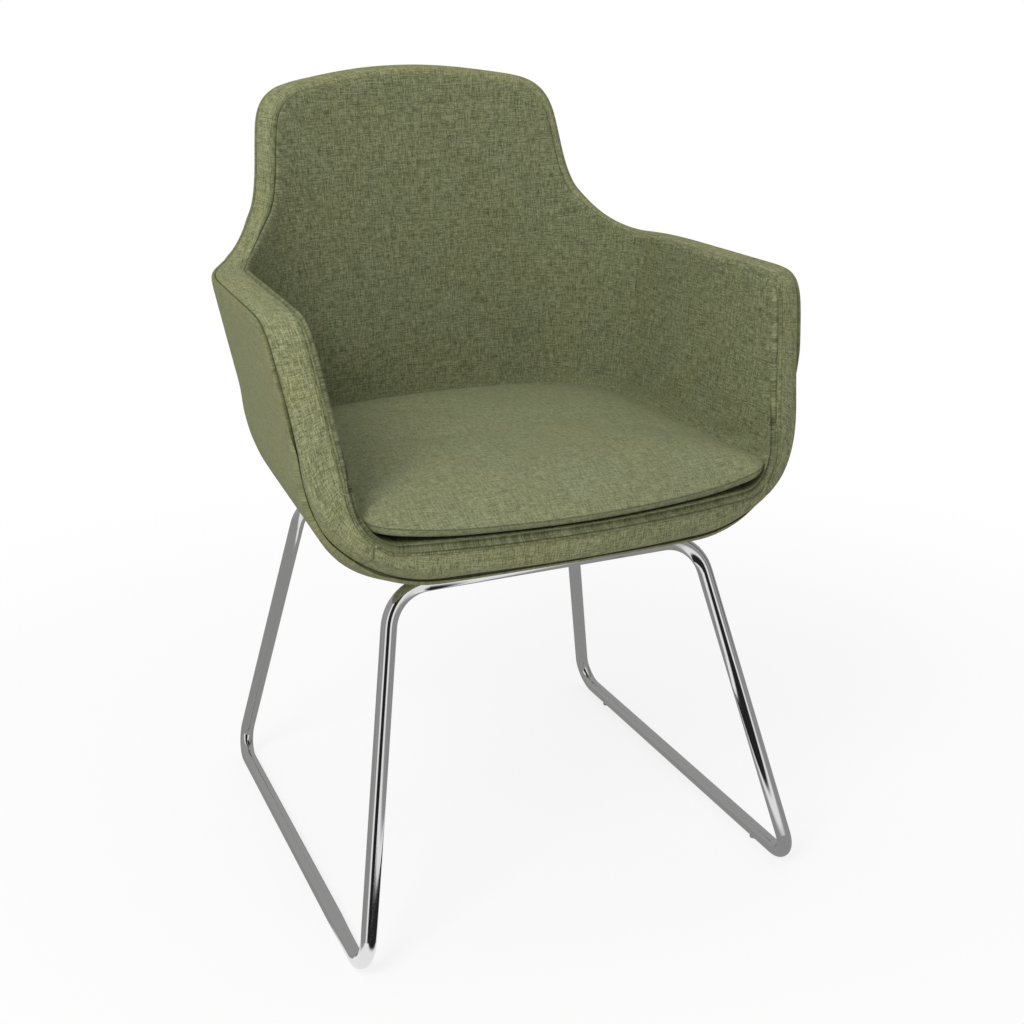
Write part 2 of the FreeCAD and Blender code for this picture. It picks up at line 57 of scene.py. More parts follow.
def add(tree, kind, inputs, **settings):
    # A new shader node; an input takes a plain value, a socket or the first output of a node
    node = tree.nodes.new("ShaderNode" + kind)
    for key, value in settings.items():
        setattr(node, key, value)
    for key, value in inputs.items():
        if isinstance(value, bpy.types.Node):
            value = value.outputs[0]
        if isinstance(value, bpy.types.NodeSocket):
            tree.links.new(value, node.inputs[key])
        else:
            node.inputs[key].default_value = value
    return node


def seen_directly(tree):
    # 1 for rays that come straight from the camera, or by a mirror or glass
    ray = add(tree, "LightPath", {}).outputs
    share = add(tree, "Math", {0: ray["Is Camera Ray"], 1: ray["Is Glossy Ray"]},
                operation="MAXIMUM")
    return add(tree, "Math", {0: share, 1: ray["Is Transmission Ray"]}, operation="MAXIMUM")


def bearing_cards(tree, place, between, stops):
    # Cards round the chair, seen in the chrome: (share of the full turn, brightness)
    apart = add(tree, "SeparateXYZ", {0: place}).outputs
    bearing = add(tree, "Math", {0: apart["Y"], 1: apart["X"]}, operation="ARCTAN2")
    turn_share = add(tree, "MapRange", {"Value": bearing, "From Min": -math.pi,
                                        "From Max": math.pi})
    cards = add(tree, "ValToRGB", {"Fac": turn_share})
    for end in cards.color_ramp.elements:
        end.color = (*between, 1.0)
    for position, grey in stops:
        cards.color_ramp.elements.new(position).color = (grey, grey, grey, 1.0)
    return cards


bpy.ops.mesh.primitive_plane_add(size=12.0, location=(0, 0, 0))
floor = bpy.context.object
floor.name = "studio_floor"
floor_material, tree, shader = plain_material("studio_floor_paint", (0.86, 0.86, 0.86), 0.9)
shader.inputs["Specular IOR Level"].default_value = 0.0
place = add(tree, "TexCoord", {}).outputs["Object"]
from_chair = add(tree, "VectorMath", {0: place}, operation="LENGTH")
far_off = add(tree, "MapRange", {"Value": from_chair.outputs["Value"], "From Min": 0.35,
                                 "From Max": 1.5, "To Min": 0.82, "To Max": 1.0},
              interpolation_type="SMOOTHSTEP")
white_share = add(tree, "Math", {0: far_off, 1: seen_directly(tree)}, operation="MULTIPLY")
glow = add(tree, "Emission", {"Color": white, "Strength": 1.0})
paint_or_glow = add(tree, "MixShader", {0: white_share, 1: shader, 2: glow})
cards = bearing_cards(tree, place, (0.30, 0.30, 0.29),
                      ((0.08, 0.30), (0.095, 0.95), (0.15, 0.95), (0.165, 0.02), (0.26, 0.02),
                       (0.275, 0.9), (0.30, 0.9), (0.33, 0.30)))
card_glow = add(tree, "Emission", {"Color": cards})
in_metal = add(tree, "LightPath", {}).outputs["Is Glossy Ray"]
with_cards = add(tree, "MixShader", {0: in_metal, 1: paint_or_glow, 2: card_glow})
# From below the floor is clear, so that the underside of the chair can be looked at
from_below = add(tree, "NewGeometry", {}).outputs["Backfacing"]
clear = add(tree, "BsdfTransparent", {})
one_way = add(tree, "MixShader", {0: from_below, 1: with_cards, 2: clear})
tree.links.new(one_way.outputs["Shader"], tree.nodes["Material Output"].inputs["Surface"])
floor.data.materials.append(floor_material)

world = bpy.data.worlds.new("studio_surround")
bpy.context.scene.world = world
world.use_nodes = True
tree = world.node_tree
background = tree.nodes["Background"]
strength = add(tree, "MapRange", {"Value": seen_directly(tree), "To Min": 0.58, "To Max": 1.0})
in_metal = add(tree, "LightPath", {}).outputs["Is Glossy Ray"]
dimmer = add(tree, "MapRange", {"Value": in_metal, "To Min": 1.0, "To Max": 0.42})
dimmed = add(tree, "Math", {0: strength, 1: dimmer}, operation="MULTIPLY")
tree.links.new(dimmed.outputs[0], background.inputs["Strength"])
place = add(tree, "TexCoord", {}).outputs["Generated"]
cards = bearing_cards(tree, place, (0.8, 0.8, 0.79),
                      ((0.06, 0.7), (0.085, 2.2), (0.125, 2.2), (0.14, 0.04), (0.245, 0.04),
                       (0.26, 2.2), (0.30, 2.2), (0.33, 0.6), (0.42, 0.9), (0.46, 0.15),
                       (0.52, 0.8)))
surround = add(tree, "Mix", {"Factor": in_metal, 6: white, 7: cards}, data_type="RGBA")
tree.links.new(surround.outputs[2], background.inputs["Color"])


def soft_lamp(name, place, aim, size, power):
    bpy.ops.object.light_add(type="AREA", location=place)
    lamp = bpy.context.object
    lamp.name = name
    lamp.data.shape = "DISK"
    lamp.data.size = size
    lamp.data.energy = power
    lamp.visible_glossy = False
    turn = (Vector(aim) - Vector(place)).to_track_quat("-Z", "Y")
    lamp.rotation_euler = turn.to_euler()


soft_lamp("lamp_front_left", (-1.5, -1.3, 2.1), (0.0, 0.0, 0.5), 1.2, 38.0)
soft_lamp("lamp_above", (0.2, 0.3, 2.6), (0.0, 0.0, 0.4), 1.5, 8.0)

camera_data = bpy.data.cameras.new("camera")
camera = bpy.data.objects.new("camera", camera_data)
bpy.context.scene.collection.objects.link(camera)
camera_data.sensor_width = 36.0
camera_data.lens = 50.961
azimuth = math.radians(-22.588)
pitch = math.radians(18.628)
roll = math.radians(-1.218)
backward = Vector((math.sin(azimuth) * math.cos(pitch), -math.cos(azimuth) * math.cos(pitch),
                   math.sin(pitch)))
right = (-backward).cross(Vector((0, 0, 1))).normalized()
upward = right.cross(-backward)
right_rolled = right * math.cos(roll) + upward * math.sin(roll)
up_rolled = upward * math.cos(roll) - right * math.sin(roll)
turn = Matrix((right_rolled, up_rolled, backward)).transposed()
camera.matrix_world = Matrix.Translation((-0.55697, -1.40603, 0.87829)) @ turn.to_4x4()
bpy.context.scene.camera = camera

# Sled: one bent steel tube, chromed. The plates under the seat are welded to it and chromed with
# it. The chrome is bright, with a faint satin haze in patches.


def on_object(tree, kind, scale, **inputs):
    # A texture node laid on the object's own coordinates
    place = add(tree, "TexCoord", {}).outputs["Object"]
    return add(tree, kind, {"Scale": scale, "Vector": place, **inputs})


def give_material(names, material):
    for name in names:
        nodes[name].data.materials.clear()
        nodes[name].data.materials.append(material)


chrome, tree, shader = plain_material("chrome", (0.78, 0.78, 0.78), 0.07, 1.0)
haze = on_object(tree, "TexNoise", 14.0, Detail=3.0)
haze_roughness = add(tree, "MapRange", {"Value": haze, "From Min": 0.35, "From Max": 0.75,
                                        "To Min": 0.05, "To Max": 0.11})
tree.links.new(haze_roughness.outputs["Result"], shader.inputs["Roughness"])
give_material(["sled_tube", "mounting_plate_1", "mounting_plate_2", "mounting_plate_3",
               "mounting_plate_4"], chrome)

# Glides: four grey nylon buttons pushed into the runners from below. They are moulded matt, with
# a fine grain, and the chair slides on them.


def add_relief(tree, shader, height, strength, distance):
    bump = add(tree, "Bump", {"Height": height, "Strength": strength, "Distance": distance})
    tree.links.new(bump.outputs["Normal"], shader.inputs["Normal"])


glide_plastic, tree, shader = plain_material("glide_plastic", (0.32, 0.32, 0.33), 0.55)
add_relief(tree, shader, on_object(tree, "TexNoise", 900.0), 0.15, 0.0003)
give_material(["glide_front_left", "glide_front_right", "glide_rear_left", "glide_rear_right"],
              glide_plastic)

# Fixings: zinc plated screws, washers, tee nuts, wood screws and staples that hold the frame, the
# board and the cloth under the seat. The plating is bright with a faint blue cast and fine flecks.
zinc, tree, shader = plain_material("zinc_plating", (0.55, 0.57, 0.60), 0.32, 1.0)
flecks = on_object(tree, "TexNoise", 350.0)
fleck_roughness = add(tree, "MapRange", {"Value": flecks, "To Min": 0.22, "To Max": 0.45})
tree.links.new(fleck_roughness.outputs["Result"], shader.inputs["Roughness"])
give_material(["frame_screws", "frame_washers", "tee_nuts", "board_screws", "staples"], zinc)

# Seat board: birch plywood inside the seat, which takes the tee nuts. Its face grain runs from
# front to back, and the inner shell above it is moulded black plastic. Both are shut in by foam.


def two_tone(tree, shader, share, low, high):
    # The material's colour runs from one to another over the middle of the share
    ramp = add(tree, "ValToRGB", {"Fac": share})
    for stop, position, colour in zip(ramp.color_ramp.elements, (0.35, 0.65), (low, high)):
        stop.position = position
        stop.color = (*colour, 1.0)
    tree.links.new(ramp.outputs["Color"], shader.inputs["Base Color"])


plywood, tree, shader = plain_material("birch_plywood", (0.52, 0.38, 0.23), 0.6)
place = add(tree, "TexCoord", {}).outputs["Object"]
stretch = add(tree, "Mapping", {"Vector": place, "Scale": (90.0, 5.0, 300.0)})
rings = add(tree, "TexNoise", {"Vector": stretch, "Scale": 1.0, "Detail": 5.0})
two_tone(tree, shader, rings, (0.40, 0.27, 0.15), (0.60, 0.45, 0.28))
give_material(["seat_board"], plywood)
shell_plastic, tree, shader = plain_material("shell_plastic", (0.03, 0.03, 0.03), 0.5)
add_relief(tree, shader, on_object(tree, "TexNoise", 700.0), 0.2, 0.0003)
give_material(["inner_shell"], shell_plastic)

# Outside cover: woven melange fabric, sewn to shape and pulled over foam on the outside of the
# bucket. It runs from the seam at the rim down the sides and is stapled under the seat.
centre_shift = 256.205
lean = 0.137
wide_height = 520.0
arm_height = 645.0
front_radius = 740.0


def melange(name, dark, middle, light, thread, contrast, bump, sheen):
    # Woven cloth: slubs along and across the piece's UV map, which is in metres
    material, tree, shader = plain_material(name, middle, 0.88)
    weave = add(tree, "Group", {"Dark": (*dark, 1.0), "Middle": (*middle, 1.0),
                                "Light": (*light, 1.0), "Thread": thread, "Contrast": contrast},
                node_tree=weave_group)
    tree.links.new(weave.outputs["Color"], shader.inputs["Base Color"])
    add_relief(tree, shader, weave.outputs["Height"], bump, 0.0006)
    shader.inputs["Specular IOR Level"].default_value = 0.25
    shader.inputs["Sheen Weight"].default_value = sheen
    shader.inputs["Sheen Roughness"].default_value = 0.6
    shader.inputs["Sheen Tint"].default_value = (*light, 1.0)
    return material


def woven_group():
    group = bpy.data.node_groups.new("melange_weave", "ShaderNodeTree")
    for side, kind, labels in (("INPUT", "NodeSocketColor", ("Dark", "Middle", "Light")),
                               ("INPUT", "NodeSocketFloat", ("Thread", "Contrast")),
                               ("OUTPUT", "NodeSocketColor", ("Color",)),
                               ("OUTPUT", "NodeSocketFloat", ("Height",))):
        for label in labels:
            group.interface.new_socket(name=label, in_out=side, socket_type=kind)
    given = group.nodes.new("NodeGroupInput").outputs
    leave = group.nodes.new("NodeGroupOutput")
    cloth_map = add(group, "UVMap", {}, uv_map="cloth")
    per_metre = add(group, "Math", {0: 1.0, 1: given["Thread"]}, operation="DIVIDE")
    counted = add(group, "VectorMath", {0: cloth_map}, operation="SCALE")
    group.links.new(per_metre.outputs[0], counted.inputs["Scale"])

    def slubs(squeeze, offset):
        mapped = add(group, "Mapping", {"Vector": counted, "Scale": squeeze, "Location": offset})
        return add(group, "TexNoise", {"Vector": mapped, "Scale": 1.0, "Detail": 2.0,
                                       "Roughness": 0.6})

    def math_of(operation, a, b):
        return add(group, "Math", {0: a, 1: b}, operation=operation)

    def share_between(value, low, high):
        return add(group, "MapRange", {"Value": value, "From Min": low, "From Max": high})

    def blend(share, a, b, blend_type="MIX"):
        mix = add(group, "Mix", {"Factor": share, 6: a, 7: b}, data_type="RGBA",
                  blend_type=blend_type)
        return mix.outputs[2]

    warp = slubs((0.9, 0.13, 1.0), (3.1, 7.7, 0.0))
    weft = slubs((0.13, 0.9, 1.0), (11.3, 2.9, 0.0))
    warp_wide = slubs((0.30, 0.03, 1.0), (5.7, 1.3, 4.0))
    weft_wide = slubs((0.03, 0.30, 1.0), (2.2, 9.1, 4.0))
    fine = slubs((1.0, 1.0, 1.0), (0.4, 0.8, 9.0))
    patch = slubs((0.020, 0.014, 1.0), (6.4, 3.3, 2.0))
    cross = math_of("ADD", warp, weft)
    wide = math_of("MULTIPLY", math_of("ADD", warp_wide, weft_wide), 0.35)
    total = math_of("ADD", math_of("ADD", cross, wide), fine)
    centred = math_of("SUBTRACT", total, 1.85)
    share = math_of("ADD", math_of("MULTIPLY", centred, given["Contrast"]), 0.5)
    thread = blend(share_between(share, 0.0, 0.5), given["Dark"], given["Middle"])
    thread = blend(share_between(share, 0.5, 1.0), thread, given["Light"])
    hue = blend(share_between(patch, 0.40, 0.60), (1.018, 1.0, 0.965, 1.0),
                (0.985, 1.002, 1.015, 1.0))
    tinted = blend(1.0, thread, hue, "MULTIPLY")
    # Painted shade along seams and mitres: where the seam attribute is set, the cloth is darkened
    # towards deep green, for the shade that falls in the groove
    seam = add(group, "Attribute", {}, attribute_name="seam").outputs["Fac"]
    group.links.new(blend(seam, tinted, (0.035, 0.042, 0.018, 1.0)), leave.inputs["Color"])
    group.links.new(total.outputs[0], leave.inputs["Height"])
    return group


weave_group = woven_group()


def eased(corners, step=4.0):
    # Points every few millimetres along straight runs joined by tangent arcs; corners (u, v, r)
    line = [np.array(corners[0][:2], float)]
    for i in range(1, len(corners) - 1):
        here = np.array(corners[i][:2], float)
        before = np.array(corners[i - 1][:2], float) - here
        after = np.array(corners[i + 1][:2], float) - here
        before /= np.linalg.norm(before)
        after /= np.linalg.norm(after)
        half = math.acos(np.clip(before @ after, -1, 1)) / 2
        radius = corners[i][2]
        if radius <= 0 or abs(half - math.pi / 2) < 1e-4:
            line.append(here)
            continue
        reach = radius / math.tan(half)
        bisector = (before + after) / np.linalg.norm(before + after)
        hub = here + bisector * (radius / math.sin(half))
        first = here + before * reach - hub
        last = here + after * reach - hub
        a = math.atan2(first[1], first[0])
        b = math.atan2(last[1], last[0])
        turn = (b - a + math.pi) % (2 * math.pi) - math.pi
        count = max(int(abs(turn) * radius / step), 6)
        for k in range(count + 1):
            angle = a + turn * k / count
            line.append(hub + radius * np.array([math.cos(angle), math.sin(angle)]))
    line.append(np.array(corners[-1][:2], float))
    dense = []
    for a, b in zip(line[:-1], line[1:]):
        count = max(int(np.linalg.norm(b - a) / step), 1)
        dense += [a + (b - a) * k / count for k in range(count)]
    return np.array(dense + [line[-1]])


def drawn_in(z, top, depth):
    if z >= top:
        return 0.0
    share = min((top - z) / depth, 1.0)
    return 1 - math.sqrt(1 - share * share)


def plan_half(half, flare, back, back_r, corner_r):
    # Right half of the bucket's plan from the front to the middle of the back, in millimetres
    s, c = math.sin(math.radians(flare)), math.cos(math.radians(flare))
    base = np.array([half - corner_r * c, -corner_r * s])
    step = np.array([-s, c])
    hub = np.array([0.0, back - back_r])
    offset = base - hub
    b = offset @ step
    k = offset @ offset - (back_r - corner_r) ** 2
    centre = base + step * (-b + math.sqrt(b * b - k))
    out = (centre - hub) / np.linalg.norm(centre - hub)
    front = np.array([half, 0.0]) + step * (-80.0 / c)
    side = centre + np.array([c, s]) * corner_r
    t = np.linspace(0, 1, 90)[:, None]
    run = front + (side - front) * t
    first = math.atan2(s, c)
    last = math.atan2(out[1], out[0])
    angle = first + (last - first) * np.linspace(0, 1, 60)[1:]
    bend = centre + corner_r * np.stack([np.cos(angle), np.sin(angle)], 1)
    angle = last + (math.pi / 2 - last) * np.linspace(0, 1, 60)[1:]
    arc = hub + back_r * np.stack([np.cos(angle), np.sin(angle)], 1)
    return np.concatenate([run, bend, arc])


def back_line(z):
    rise = max(z - wide_height, 0.0)
    return 470.0 + 0.05 * rise + rise * rise / 5260.0


def keel(y):
    # Half width, height and rounding of the underside at one depth, and how far it reaches
    share = (y - 10.0) / 86.0
    radius = 114.0 + 24.0 * share
    return 236.0 + 14.0 * share, 398.5 - 25.5 * share, radius, radius / 1.1463


def outer_plan(z):
    drawn = drawn_in(z, wide_height, 147.0)
    above = max(z - wide_height, 0.0)
    share = min(above / 125.0, 1.0)
    half = 260.0 + lean * above - 108.0 * drawn
    back = back_line(z) - 42.0 * drawn
    flare = 3.2 + 1.0 * drawn - 1.7 * share
    corner = 150.0 + 40.0 * share - 80.0 * drawn
    line = plan_half(half, flare, back, 600.0, corner)
    for point in line:
        if point[1] < 96.0:
            wide, low, radius, reach = keel(point[1])
            if z > low + 0.9907 * reach:
                limit = wide + lean * (z - low)
            else:
                limit = wide - reach + math.sqrt(max(radius ** 2 - (z - low - radius) ** 2, 0.0))
            point[0] = min(point[0], limit)
    return line


def inner_plan(z):
    drawn = drawn_in(z, 475.0, 43.0)
    share = min(max(z - 475.0, 0.0) / 170.0, 1.0)
    half = 227.0 + lean * (z - wide_height) - (220.835 - 186.0) * drawn
    back = back_line(z) - 25.0 - 30.0 * drawn
    corner = 118.0 + 27.0 * share - 33.0 * drawn
    return plan_half(half, 1.5, back, 575.0, corner)


def crossing(line, values):
    # First point of the line at which the values change sign
    sign = np.nonzero((values[:-1] < 0) & (values[1:] >= 0))[0]
    i = sign[0] if len(sign) else len(line) - 2
    span = values[i + 1] - values[i]
    share = np.clip(-values[i] / span, 0, 1) if span else 0.0
    return line[i] + (line[i + 1] - line[i]) * share


front_profile = eased([(19.0, 300.0, 0), (-1.0, 401.5, 0), (-10.0, 437.0, 60.0),
                       (27.0, 637.0, 20.0), (270.0, arm_height, 0)], 3.0)


def profile_depth(z):
    return float(np.interp(z, front_profile[:, 1], front_profile[:, 0]))


def front_y(x, z):
    return front_radius - math.sqrt((front_radius - profile_depth(z)) ** 2 - x * x)


def even(points, count):
    # The same line with evenly spaced points
    points = np.array(points, float)
    run = np.concatenate([[0], np.cumsum(np.linalg.norm(np.diff(points, axis=0), axis=1))])
    at = np.linspace(0, run[-1], count)
    return np.stack([np.interp(at, run, points[:, k]) for k in range(3)], 1)


def back_outline(y):
    corner_x = 160.0 + 0.5 * (y - 446.0)
    raised = 0.16 * (y - 480.0)
    corner_z = 815.0 + raised
    shoulder_x = corner_x + 0.25 * (corner_z - arm_height)
    turn = math.atan2(21.0, corner_x)
    corners = [(400.0, arm_height, 0), (shoulder_x, arm_height, 110.0),
               (corner_x, corner_z, 45.0), (0.0, 836.0 + raised, 80.0 / math.tan(turn)),
               (-corner_x, corner_z, 45.0)]
    line = eased(corners, 3.0)
    line = line[(line[:, 0] >= 0) & (line[:, 1] > arm_height + 0.02)]
    return even(np.column_stack([line, np.zeros(len(line))]), 61)[:, :2]


def rim_sections(plan, front_curve):
    # Right half of a rim line in five sections, each between the same landmarks on both rim lines
    low = [np.array([x, front_y(x, z), z]) for x, z in front_curve]
    rise = []
    start = front_curve[-1][1]
    for d, z in front_profile:
        if z < start + 1.0:
            continue
        line = plan(z)
        reach = np.hypot(line[:, 0], line[:, 1] - front_radius)
        x, y = crossing(line, front_radius - reach - d)
        rise.append(np.array([x, y, z]))
    rise = np.array(rise)
    bend = int(np.argmin(np.abs(rise[:, 2] - 636.0)))
    level = plan(arm_height)
    end = rise[-1]
    depths = np.arange(330.0, 521.0, 10.0)
    outlines = np.array([back_outline(y) for y in depths])
    back = []
    for k in range(outlines.shape[1]):
        reach = []
        for y, (x, z) in zip(depths, outlines[:, k]):
            line = plan(z)
            reach.append(x - np.interp(y, line[:, 1], line[:, 0], right=0.0))
        beyond = np.nonzero(np.array(reach) >= 0)[0]
        i = max(int(beyond[0]) - 1, 0) if len(beyond) else len(depths) - 2
        near, beyond_it = depths[i], depths[i + 1]
        for _ in range(14):
            y = (near + beyond_it) / 2
            share = (y - depths[i]) / 10.0
            x, z = outlines[i, k] * (1 - share) + outlines[i + 1, k] * share
            line = plan(z)
            if x < np.interp(y, line[:, 1], line[:, 0], right=-1.0):
                near = y
            else:
                beyond_it = y
        back.append(np.array([x, y, z]))
    back = np.array(back)
    ahead = (level[:, 1] > end[1]) & (level[:, 0] > back[0][0])
    flat = np.array([end] + [np.array([x, y, arm_height]) for x, y in level[ahead]] + [back[0]])
    steep = int(np.argmax(back[:, 2] > back[-1][2] - 38.0))
    return [np.array(low), rise[:bend + 1], rise[bend:], flat, back[:steep + 1], back[steep:]]


lip_wide, lip_low, lip_radius, lip_reach = keel(-2.0)
outer_front = [(x, lip_low) for x in np.linspace(0.0, lip_wide - lip_reach, 30)]
for angle in np.linspace(0.0, 0.99, 24)[1:]:
    outer_front.append((lip_wide - lip_reach + lip_radius * math.sin(angle),
                        lip_low + lip_radius * (1 - math.cos(angle))))
outer_front = [(x, z) for x, z in outer_front if z < 426.0]
inner_front = [(x, 432.0) for x in np.linspace(0.0, 185.0, 40)]
for z in np.linspace(432.2, 441.0, 12):
    line = inner_plan(z)
    inner_front.append((float(np.interp(0.0, line[:, 1], line[:, 0])), z))
outer_sections = rim_sections(outer_plan, outer_front)
inner_sections = rim_sections(inner_plan, inner_front)
section_counts = [30, 26, 30, 14, 28, 22]


def closed_rim(sections):
    # Whole rim line from the middle of the front, round by the right arm and the back, in metres
    half = []
    for k, (section, count) in enumerate(zip(sections, section_counts)):
        joined = section if k == 0 else np.concatenate([[sections[k - 1][-1]], section])
        half.append(even(joined, count)[(0 if k == 0 else 1):])
    half = np.concatenate(half)
    left = half[-2::-1] * np.array([-1, 1, 1])
    whole = np.concatenate([half, left])
    for _ in range(6):
        middle = (whole[:-2] + 2 * whole[1:-1] + whole[2:]) / 4
        whole[1:-1] = middle
    shoulder = (whole[1:-1, 1] > 330.0) & (whole[1:-1, 2] > 640.0) & (whole[1:-1, 2] < 690.0)
    for _ in range(24):
        middle = (whole[:-2] + 2 * whole[1:-1] + whole[2:]) / 4
        whole[1:-1][shoulder] = middle[shoulder]
    return (whole - np.array([0, centre_shift, 0])) / 1000.0


outer_rim = closed_rim(outer_sections)
inner_rim = closed_rim(inner_sections)
mitre_at = section_counts[0] - 1
mitre_columns = [mitre_at, len(outer_rim) - 1 - mitre_at]
fine_columns = sorted(list(range(len(outer_rim)))
                      + [k + side for k in mitre_columns for side in (-0.15, 0.15)])


def with_mitres(rim):
    # The rim line with one more point close by on each side of a mitre
    return np.stack([np.interp(fine_columns, range(len(rim)), rim[:, k]) for k in range(3)], 1)


outer_rim = with_mitres(outer_rim)
inner_rim = with_mitres(inner_rim)
mitre_columns = [fine_columns.index(k) for k in mitre_columns]
columns = len(outer_rim) - 1


def read(items, field, size=3, kind=np.float32):
    # One field of every vertex, corner or triangle, as an array
    values = np.zeros(len(items) * size, kind)
    items.foreach_get(field, values)
    return values.reshape(-1, size) if size > 1 else values


def cloth_grid(name, rows, uv, seam):
    # A grid primitive laid over rows of points
    high = len(rows) - 1
    wide = len(rows[0]) - 1
    bpy.ops.object.select_all(action="DESELECT")
    bpy.ops.mesh.primitive_grid_add(x_subdivisions=wide, y_subdivisions=high, size=1.0)
    piece = bpy.context.object
    piece.name = name
    piece.data.name = name
    mesh = piece.data
    flat = read(mesh.vertices, "co")
    column = np.rint((flat[:, 0] + 0.5) * wide).astype(int)
    row = np.rint((flat[:, 1] + 0.5) * high).astype(int)
    places = np.array(rows)[row, column]
    mesh.vertices.foreach_set("co", places.astype(np.float32).ravel())
    layer = mesh.uv_layers[0]
    layer.name = "cloth"
    corners = read(mesh.loops, "vertex_index", 1, np.int32)
    spread = np.array(uv)[row, column]
    layer.data.foreach_set("uv", spread[corners].astype(np.float32).ravel())
    # The seam attribute carries the painted seam shade of the cloth pieces, and marks the coil on
    # the zip tape
    mark = mesh.attributes.new("seam", "FLOAT", "POINT")
    mark.data.foreach_set("value", np.array(seam)[row, column].astype(np.float32))
    mesh.update()
    return piece


def pick(piece):
    bpy.ops.object.select_all(action="DESELECT")
    bpy.context.view_layer.objects.active = piece
    piece.select_set(True)


weld_distance = 0.00002


def weld(piece, turn_out=False):
    # Joins the points that lie on each other, as where the last column meets the first
    pick(piece)
    bpy.ops.object.mode_set(mode="EDIT")
    bpy.ops.mesh.select_all(action="SELECT")
    bpy.ops.mesh.remove_doubles(threshold=weld_distance)
    if turn_out:
        bpy.ops.mesh.normals_make_consistent(inside=False)
    bpy.ops.object.mode_set(mode="OBJECT")


def soften():
    soft = bpy.context.object.modifiers.new("soft", "SUBSURF")
    soft.levels = 1
    bpy.ops.object.modifier_apply(modifier="soft")
    bpy.ops.object.shade_smooth()


def finish_cloth(piece, thickness):
    # Closes the joint, gives the cloth and foam their depth inward, and rounds the faces off
    weld(piece)
    wall = piece.modifiers.new("depth", "SOLIDIFY")
    wall.thickness = thickness
    wall.offset = -1.0
    bpy.ops.object.modifier_apply(modifier="depth")
    soften()


def faces_of(names, outward):
    # Search tree of the CAD faces that look away from, or towards, the middle of the chair
    corners = []
    for name in names:
        mesh = nodes[name].data
        mesh.calc_loop_triangles()
        triangles = read(mesh.vertices, "co")[read(mesh.loop_triangles, "vertices", 3, np.int32)]
        normal = np.cross(triangles[:, 1] - triangles[:, 0], triangles[:, 2] - triangles[:, 0])
        middle = triangles.mean(1) - np.array([0.0, -0.02, 0.56])
        side = (normal * middle).sum(1)
        corners.append(triangles[side > 0] if outward else triangles[side < 0])
    triangles = np.concatenate(corners)
    return BVHTree.FromPolygons([tuple(p) for p in triangles.reshape(-1, 3).tolist()],
                                [(3 * i, 3 * i + 1, 3 * i + 2) for i in range(len(triangles))])


def drawn_onto(faces, line):
    # A closed line with each of its points moved to the nearest place on the CAD faces
    moved = np.array([faces.find_nearest(place)[0] for place in line])
    moved[-1] = moved[0]
    return moved


def guide_rows(seam_line, turning, end, count, crowding, turn_at):
    # Rows from the seam by a turning line to the end line, closest together at the seam
    rows = []
    for k in range(count + 1):
        t = (k / count) ** crowding
        if t < turn_at:
            rows.append(seam_line + (turning - seam_line) * (t / turn_at))
        else:
            rows.append(turning + (end - turning) * ((t - turn_at) / (1 - turn_at)))
    return rows


def settle(rows, tree, rounds):
    # Spreads the inner rows evenly over the form while the first and last rows stay where they are
    rows = np.array(rows)
    for turn in range(rounds):
        if turn:
            sides = (np.roll(rows[:, :-1], 1, 1) + np.roll(rows[:, :-1], -1, 1))
            joined = np.concatenate([sides, sides[:, :1]], 1)
            middle = (rows[:-2] + rows[2:] + joined[1:-1]) / 4
            rows[1:-1] = rows[1:-1] * 0.4 + middle * 0.6
        for i in range(1, len(rows) - 1):
            for j in range(columns):
                hit = tree.find_nearest(rows[i, j])
                rows[i, j] = hit[0]
            rows[i, columns] = rows[i, 0]
    return rows


across = inner_rim - outer_rim
width = np.linalg.norm(across, axis=1)
inward = across / width[:, None]
ahead = np.roll(outer_rim[:-1], -1, 0) - np.roll(outer_rim[:-1], 1, 0)
ahead = np.concatenate([ahead, ahead[:1]])
rise = np.cross(across, ahead)
rise /= np.linalg.norm(rise, axis=1)[:, None]
if (rise * (outer_rim - np.array([0, 0.05, 0.45]))).sum() < 0:
    rise = -rise


def lengthwise(points):
    # Distance round the bucket, measured from the middle of the back along the plan at seat height
    reference = plan_half(262.0, 3.0, 470.0, 600.0, 150.0)
    reference = np.concatenate([reference, reference[-2::-1] * np.array([-1, 1])])
    reference = (reference - np.array([0, centre_shift])) / 1000.0
    run = np.concatenate([[0], np.cumsum(np.linalg.norm(np.diff(reference, axis=0), axis=1))])
    run -= run[-1] / 2
    shape = points.shape[:-1]
    flat = points.reshape(-1, 3)[:, :2]
    near = np.zeros(len(flat), int)
    gap = np.zeros(len(flat))
    for start in range(0, len(flat), 4000):
        part = flat[start:start + 4000]
        distance = np.linalg.norm(part[:, None] - reference[None], axis=2)
        near[start:start + 4000] = distance.argmin(1)
        gap[start:start + 4000] = distance.min(1)
    return run[near].reshape(shape), gap.reshape(shape)


cover_thickness = 0.005
outside_rows = 36
cut_back = 0.0006
sunk = 0.0005
# Painted shade along the sewn seams: the share by which the seam rows are darkened towards deep
# green
seam_painted_shade = 0.22
